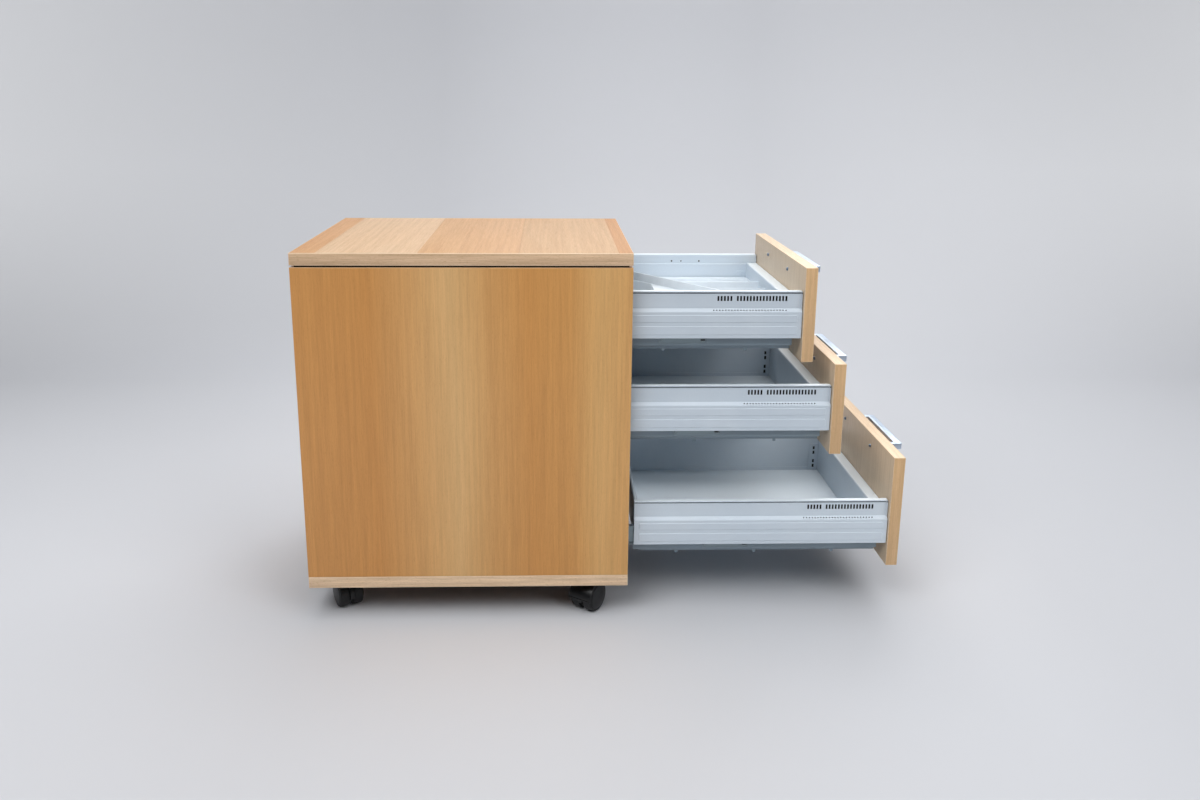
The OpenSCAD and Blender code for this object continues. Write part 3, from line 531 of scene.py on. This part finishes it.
def block(bm, low, high, rounding):
    """Add a block between two corners, with rounded edges."""
    made = bmesh.ops.create_cube(bm, size=1.0)["verts"]
    for vert in made:
        vert.co = Vector((low[k] + (vert.co[k] + 0.5) * (high[k] - low[k]) for k in range(3)))
    edges = list(dict.fromkeys(edge for vert in made for edge in vert.link_edges))
    bmesh.ops.bevel(bm, geom=edges, offset=rounding, segments=3, profile=0.5, affect="EDGES")


ARRIS = 0.0007      # radius of a board's sanded edges
SQUARE = 0.999      # a face looks along an axis from this cosine on
SIDES = {"-X": (-1, 0, 0), "+X": (1, 0, 0), "-Y": (0, -1, 0), "+Y": (0, 1, 0),
         "-Z": (0, 0, -1), "+Z": (0, 0, 1)}


def make_board(node, faces, plain, arris):
    """A veneered board with sanded edges.

    faces names the materials of some sides by their directions, and plain that of the rest.
    """
    bm = bmesh.new()
    block(bm, *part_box(node), ARRIS)
    names = list(dict.fromkeys([arris, plain, *sorted(faces.values())]))
    bm.normal_update()
    for face in bm.faces:
        face.material_index = 0
        for side, way in SIDES.items():
            if face.normal.dot(Vector(way)) > SQUARE:
                face.material_index = names.index(faces.get(side, plain))
    add_piece(node + "_board", bm, node, names, smooth=60)


def both(axis, material):
    """The same material on both sides of a board that an axis goes through."""
    return {"-" + axis: material, "+" + axis: material}


def make_boards():
    ends = both("Y", "end_lipping")
    make_board("top_panel", {**ends, **both("X", "lipping"), "+Z": "top_veneer"},
               "pale_veneer", "arris")
    make_board("base_panel", {**ends, **both("X", "base_lipping"), "-Z": "backing"},
               "pale_veneer", "arris")
    for side, inner in (("left", "+X"), ("right", "-X")):
        make_board("side_panel_" + side,
                   {**both("Y", "edge_band"), "+Z": "lipping", inner: "inner_veneer"},
                   "side_veneer", "edge_band")
    make_board("back_panel", {"-Y": "inner_veneer"}, "side_veneer", "edge_band")
    for drawer in DRAWERS:
        make_board(drawer + "_front",
                   {**both("X", "front_end"), **both("Z", "front_edge"), "+Y": "front_inside"},
                   "front_veneer", "front_edge")


HANDLE_ROUND = 0.0006    # radii of what soft_copy rounds
TRAY_ROUND = 0.0004
HOOD_ROUND = 0.0005
SHARP = math.radians(35)     # an edge sharper than this is rounded
FLAT = math.radians(1)       # and one flatter than this is dissolved
SAME_PLACE = 1e-6


def soft_copy(node, suffix, width):
    """A copy of a node's mesh with its sharp edges rounded."""
    bm = bmesh.new()
    bm.from_mesh(frame["nodes"][node].data)
    bmesh.ops.remove_doubles(bm, verts=bm.verts, dist=SAME_PLACE)
    bmesh.ops.dissolve_limit(bm, angle_limit=FLAT, verts=bm.verts, edges=bm.edges)
    edges = [edge for edge in bm.edges
             if len(edge.link_faces) == 2 and edge.calc_face_angle() > SHARP]
    bmesh.ops.bevel(bm, geom=edges, offset=width, segments=2, profile=0.5,
                    affect="EDGES", clamp_overlap=True)
    for face in bm.faces:
        face.material_index = 0
    add_piece(node + suffix, bm, node, [SLOTS[node]])


def turned(bm, centre, axle, section, steps):
    """Add a solid turned around an axle; returns the faces of each strip.

    The section is (radius, distance along the axle) pairs, from a flat end to a point.
    """
    up = Vector((0, 0, 1))
    across = axle.cross(up)
    rings = []
    for radius, reach in section:
        middle = centre + axle * reach
        angles = [2 * math.pi * k / steps for k in range(steps if radius > 0 else 1)]
        rings.append([bm.verts.new(middle + radius * (math.cos(a) * across + math.sin(a) * up))
                      for a in angles])
    strips = [[bm.faces.new(list(reversed(rings[0])))]]
    for ring, far in zip(rings, rings[1:]):
        strips.append([])
        for k in range(steps):
            n = (k + 1) % steps
            corners = [ring[k], ring[n], far[n % len(far)], far[k % len(far)]]
            strips[-1].append(bm.faces.new(corners[:3] if len(far) == 1 else corners))
    bmesh.ops.recalc_face_normals(bm, faces=sum(strips, []))
    return strips[1:]


# ---------- Black fillings that paint shade in the drawers' slots and holes ---

# Across is from the middle plane; sizes are along the drawer and up
# Black fillings paint shade behind the catch plates' slots
CATCH_X = (0.17772, 0.17872)     # just inside the catch plate's outer face
CATCH_BACK = 0.006               # from the plate's front end to its slot
CATCH_DROP = 0.0800              # from the rim to its slot
CATCH_SLOT = (0.0070, 0.0032)
# Black fillings paint shade in the brackets' slots
OPENING_X = (0.17430, 0.17490)   # between a bracket's face and the side behind it
OPENING = (0.0040, 0.0070)
OPENING_RISES = (0.009, 0.019, 0.037, 0.047)    # the bracket's slots above its foot
SLOT_ROUND = 0.3                 # rounding of their fillings, as a share of the thickness

# Black domed plugs paint shade in the holes of the inner walls
PLUG_X = 0.17722
PLUG_DROP = 0.013                # from the rim
PLUGS = ((0.1115, 0.0026), (0.1460, 0.0023), (0.1640, 0.0026))    # from the front; radius
# Half section of a plug: share of the radius, and height
PLUG_SECTION = ((1.0, 0.0), (1.0, 0.0004), (0.75, 0.0008), (0.0, 0.0009))
PLUG_STEPS = 20


def filling(bm, side, across, y, z, size):
    """Add a thin rounded block that fills a slot from behind."""
    x = sorted(side * reach for reach in across)
    block(bm, (x[0], y - size[0] / 2, z - size[1] / 2), (x[1], y + size[0] / 2, z + size[1] / 2),
          SLOT_ROUND * (x[1] - x[0]))


def make_slot_shades(drawer, rim):
    """A black filling behind each catch plate's slot: painted shade that keeps it dark."""
    bm = bmesh.new()
    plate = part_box(drawer + "_slides")[0][1]
    for side in (-1, 1):
        filling(bm, side, CATCH_X, plate + CATCH_BACK, rim - CATCH_DROP, CATCH_SLOT)
    add_piece(drawer + "_slot_shades", bm, drawer + "_slides", ["black_plastic"], stands_for=False)


def make_hole_shades(drawer, rim):
    """Black fillings behind the brackets' slots, but not in the top drawer, where the tray
    stands before them, and low domed black plugs behind the holes of the inner walls: painted
    shade that keeps the slots and holes dark.
    """
    bm = bmesh.new()
    low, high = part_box(drawer + "_brackets")
    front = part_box(drawer + "_front")[1][1]
    rises = () if drawer == "top" else OPENING_RISES
    for side in (-1, 1):
        for rise in rises:
            filling(bm, side, OPENING_X, (low[1] + high[1]) / 2, low[2] + rise, OPENING)
        for reach, radius in PLUGS:
            turned(bm, Vector((side * PLUG_X, front + reach, rim - PLUG_DROP)),
                   Vector((side, 0, 0)), [(part * radius, rise) for part, rise in PLUG_SECTION],
                   PLUG_STEPS)
    add_piece(drawer + "_hole_shades", bm, drawer + "_brackets", ["black_plastic"],
              stands_for=False)


# ---------- Casters ----------

WHEEL_START = 0.004      # from the caster's middle plane to the wheel's inner face
LATHE_STEPS = 96
# Half section of a wheel: radius and distance from its inner face
HUB_INNER = ((0.00305, 0.0), (0.0120, 0.0), (0.0130, 0.0008), (0.0205, 0.0008), (0.0213, 0.0))
TREAD = ((0.0237, 0.0), (0.0244, 0.0002), (0.0248, 0.0007), (0.0250, 0.0014),
         (0.0250, 0.0132), (0.0248, 0.0142), (0.0243, 0.0149), (0.0232, 0.0156),
         (0.0217, 0.0161), (0.0214, 0.0159))
HUB_OUTER = ((0.0212, 0.0155), (0.0207, 0.0155), (0.0205, 0.0160), (0.0202, 0.0166),
             (0.0190, 0.0169), (0.0160, 0.0175), (0.0125, 0.0181), (0.0090, 0.0185),
             (0.0050, 0.0188), (0.0, 0.0190))


def make_wheel(corner, wheel):
    """A twin-wheel caster's wheel, turned around its axle."""
    body = f"caster_{corner}_wheel_{wheel}"
    joint = JOINTS[body + "_spin"]
    axle = Vector(joint["axis"]) * (1 if wheel == "a" else -1)
    bm = bmesh.new()
    section = [(radius, WHEEL_START + reach)
               for radius, reach in HUB_INNER + TREAD + HUB_OUTER]
    strips = turned(bm, Vector(joint["pos_m"]), axle, section, LATHE_STEPS)
    for strip in strips[len(HUB_INNER):len(HUB_INNER + TREAD)]:
        for face in strip:
            face.material_index = 1
    add_piece(body + "_turned", bm, body, ["black_plastic", "black_tread"], smooth=38)


# ---------- Stage and light ----------

STAGE_FLOOR = srgb(210, 212, 217)
STAGE_WALL = srgb(196, 198, 203)
STAGE_REACH = 14.0           # how far the stage goes to each side, forward and up
WALL_X = 2.6
SWEEP_RADIUS = 1.2
SWEEP_STEPS = 24
WALL_TONE_X = (0.6, 1.8)     # where the floor's colour turns into the wall's
WALL_TONE_Y = (0.1, -0.8)
STAGE_MIDDLE_Y = -0.1        # where the lamps light the wall best
STAGE_EVEN = 0.65            # half width that needs no evening out
STAGE_LIFT = 0.177           # brightness added to the wall per metre beyond it
STAGE_LIFT_X = (1.2, 2.4)    # where that grows from nothing to its full strength
STAGE_FAR = 0.55             # brightness of the floor far from the lamps
STAGE_FAR_Y = (2.8, 7.0)     # where that begins and is full, to the sides
STAGE_FAR_X = (-1.2, -6.0)   # and behind the camera
STAGE_GLOW = (0.97, 0.98, 1.0, 1)


def stage_material():
    """Pale paint, brightened for the eye alone where the lamps light it less."""
    s = Shader("stage", roughness=0.9, specular=0.1)
    x, y = s.axis("X"), s.axis("Y")
    floor = s.mix(s.span(y, *WALL_TONE_Y), STAGE_FLOOR, STAGE_WALL)
    s.colour(s.mix(s.span(x, *WALL_TONE_X), floor, STAGE_WALL))
    path = s.node("ShaderNodeLightPath").outputs
    seen = s.largest(path["Is Camera Ray"], path["Is Glossy Ray"], path["Is Transmission Ray"])
    beyond = s.math("SUBTRACT", s.size(s.math("SUBTRACT", y, STAGE_MIDDLE_Y)), STAGE_EVEN)
    lift = s.times(s.largest(beyond, 0.0), s.span(x, *STAGE_LIFT_X, 0.0, STAGE_LIFT))
    far = s.largest(s.span(s.size(y), *STAGE_FAR_Y), s.span(x, *STAGE_FAR_X))
    glow = s.largest(lift, s.times(far, STAGE_FAR))
    s.surface.inputs["Emission Color"].default_value = STAGE_GLOW
    s.link(s.times(seen, glow), s.surface.inputs["Emission Strength"])
    return s.material


def make_stage():
    """A floor that sweeps up into a wall behind the object."""
    profile = [(-STAGE_REACH, 0.0)]
    for k in range(SWEEP_STEPS + 1):
        a = math.pi / 2 * k / SWEEP_STEPS
        profile.append((WALL_X - SWEEP_RADIUS * (1 - math.sin(a)),
                        SWEEP_RADIUS * (1 - math.cos(a))))
    profile.append((WALL_X, STAGE_REACH))
    verts = [(x, y, z) for x, z in profile for y in (-STAGE_REACH, STAGE_REACH)]
    faces = [(k, k + 1, k + 3, k + 2) for k in range(0, len(verts) - 2, 2)]
    mesh = bpy.data.meshes.new("stage")
    mesh.from_pydata(verts, [], faces)
    mesh.polygons.foreach_set("use_smooth", [True] * len(faces))
    mesh.materials.append(stage_material())
    stage = bpy.data.objects.new("stage", mesh)
    bpy.context.scene.collection.objects.link(stage)


LAMPS = (    # name, place, aim, size and watts
    ("overhead", (-0.1, -0.3, 3.0), (0, -0.1, 0.3), (3.2, 3.2), 62),
    ("rear_left", (-2.4, 1.5, 3.3), (0, 0, 0.3), (2.4, 1.8), 76),
    ("front_left", (-2.6, -2.2, 2.5), (0, -0.1, 0.3), (2.0, 1.6), 40),
    ("far_side", (2.1, -0.7, 2.2), (0, -0.3, 0.3), (2.4, 1.2), 36),
)
WORLD_COLOUR = (0.92, 0.96, 1.0, 1)
WORLD_LIGHT = 0.01           # what the world adds to the light on the object


def make_lamps():
    """Soft studio lamps, each turned to its aim."""
    for name, at, aim, size, power in LAMPS:
        data = bpy.data.lights.new(name, "AREA")
        data.shape = "RECTANGLE"
        data.size, data.size_y = size
        data.energy = power
        lamp = bpy.data.objects.new(name, data)
        lamp.location = at
        lamp.rotation_euler = (Vector(aim) - Vector(at)).to_track_quat("-Z", "Y").to_euler()
        bpy.context.scene.collection.objects.link(lamp)


def make_world():
    """Hardly any light on the object, but the far floor's brightness where the camera looks
    past the stage.
    """
    world = bpy.data.worlds.new("studio")
    bpy.context.scene.world = world
    world.use_nodes = True
    tree = world.node_tree
    background = tree.nodes["Background"]
    background.inputs["Color"].default_value = WORLD_COLOUR
    path = tree.nodes.new("ShaderNodeLightPath")
    seen = tree.nodes.new("ShaderNodeMapRange")
    tree.links.new(path.outputs["Is Camera Ray"], seen.inputs["Value"])
    seen.inputs["To Min"].default_value = WORLD_LIGHT
    seen.inputs["To Max"].default_value = STAGE_FAR
    tree.links.new(seen.outputs["Result"], background.inputs["Strength"])


make_camera()
materials = make_materials()
dress()
make_boards()
for drawer in DRAWERS:
    soft_copy(drawer + "_handle", "_bow", HANDLE_ROUND)
for node in ("pen_tray", "tray_dividers"):
    soft_copy(node, "_moulded", TRAY_ROUND)
for corner in CORNERS:
    soft_copy(f"caster_{corner}_hood", "_moulded", HOOD_ROUND)
    for wheel in "ab":
        make_wheel(corner, wheel)
for drawer, rim in zip(DRAWERS, RIMS):
    make_slot_shades(drawer, rim)
    make_hole_shades(drawer, rim)
make_stage()
make_lamps()
make_world()
bpy.context.scene.view_settings.view_transform = "Standard"
